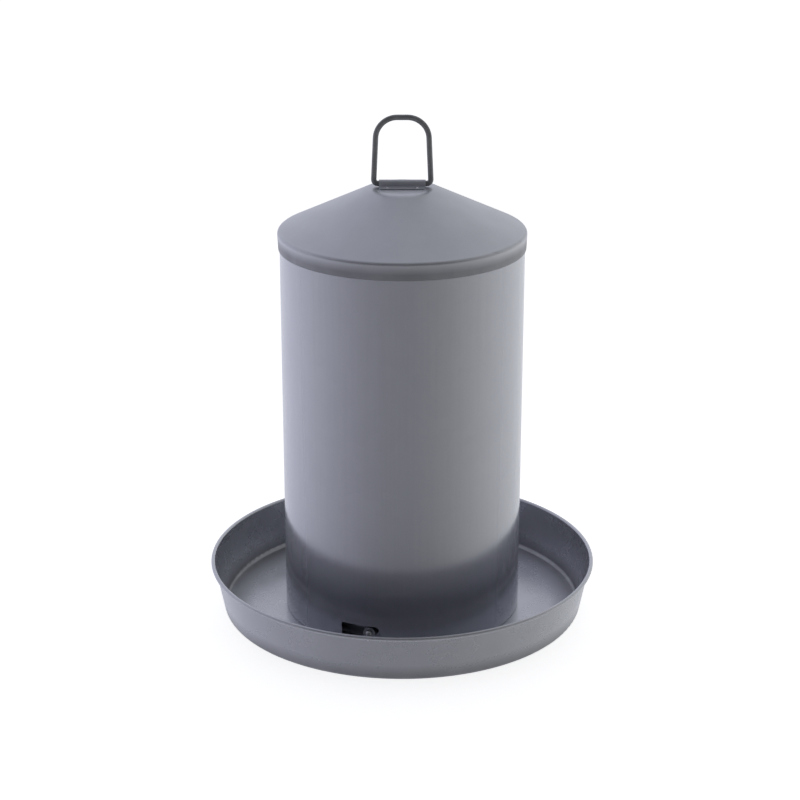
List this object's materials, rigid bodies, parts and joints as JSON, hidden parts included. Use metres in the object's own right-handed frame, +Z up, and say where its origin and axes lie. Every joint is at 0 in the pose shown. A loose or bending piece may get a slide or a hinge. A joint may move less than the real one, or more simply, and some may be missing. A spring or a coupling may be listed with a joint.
{
  "type": "poultry waterer fount",
  "caption": "Double-wall vacuum drinker for poultry: round trough pan, inner water tank with a sprung outlet valve, and a cone-topped bayonet cover with a wire bail.",
  "frame": {"origin": "centre of the pan's flat underside", "axes": "+Z up along the tank's axis, -Y the front, +X to the right seen from the front; the bail turns about an axis along X"},
  "size_m": [0.32, 0.32, 0.4148],
  "materials": {
    "galvanised_pan": "satin, bluish grey galvanised sheet steel",
    "galvanised_cover": "satin, bluish grey galvanised sheet steel",
    "galvanised_tank": "satin galvanised sheet steel",
    "steel_wire": "plain drawn steel wire",
    "bail_wire": "dull zinc-plated steel wire",
    "zinc_fittings": "bright zinc-plated steel",
    "spring_steel": "bright spring steel",
    "solder": "dull tin solder",
    "brass": "turned brass",
    "rubber": "black rubber"
  },
  "bodies": {
    "base": {"trough_pan": "galvanised_pan", "pan_rim_wire": "steel_wire", "tank_wall": "galvanised_tank", "tank_bottom": "galvanised_tank", "tank_foot_solder": "solder", "tank_rim_wire": "steel_wire", "lock_studs": "zinc_fittings", "stud_washers": "rubber", "outlet_nozzle": "brass", "valve_bracket": "zinc_fittings", "bracket_rivets": "zinc_fittings", "valve_pivot_pin": "zinc_fittings", "valve_spring": "spring_steel"},
    "lever": {"valve_lever": "zinc_fittings", "valve_pad": "rubber", "pad_rivet": "zinc_fittings"},
    "rim_wire": {"cone_rim_wire": "steel_wire"},
    "cover": {"cover_shell": "galvanised_cover", "cover_cone": "galvanised_cover", "cone_seam_solder": "solder", "bail_strap": "galvanised_cover", "strap_rivets": "zinc_fittings"},
    "bail": {"bail": "bail_wire"}
  },
  "joints": [
    {"name": "cover_lift", "type": "slide", "parent": "base", "child": "rim_wire", "axis": [0, 0, 1], "range_m": [0, 0.312]},
    {"name": "cover_turn", "type": "hinge", "parent": "rim_wire", "child": "cover", "pos_m": [0, 0, 0], "axis": [0, 0, 1], "range_deg": [0, 12.5]},
    {"name": "bail_swing", "type": "hinge", "parent": "cover", "child": "bail", "pos_m": [0, 0, 0.3599], "axis": [1, 0, 0], "range_deg": [-90, 90]},
    {"name": "valve_rock", "type": "hinge", "parent": "base", "child": "lever", "pos_m": [0, 0.0916, 0.046], "axis": [1, 0, 0], "range_deg": [0, 7], "stiffness_Nm_per_rad": 0.02, "deforming": ["valve_spring"]}
  ],
  "couplings": [
    {"joint": "valve_rock", "follows": "cover_turn", "ratio": 0.56}
  ]
}
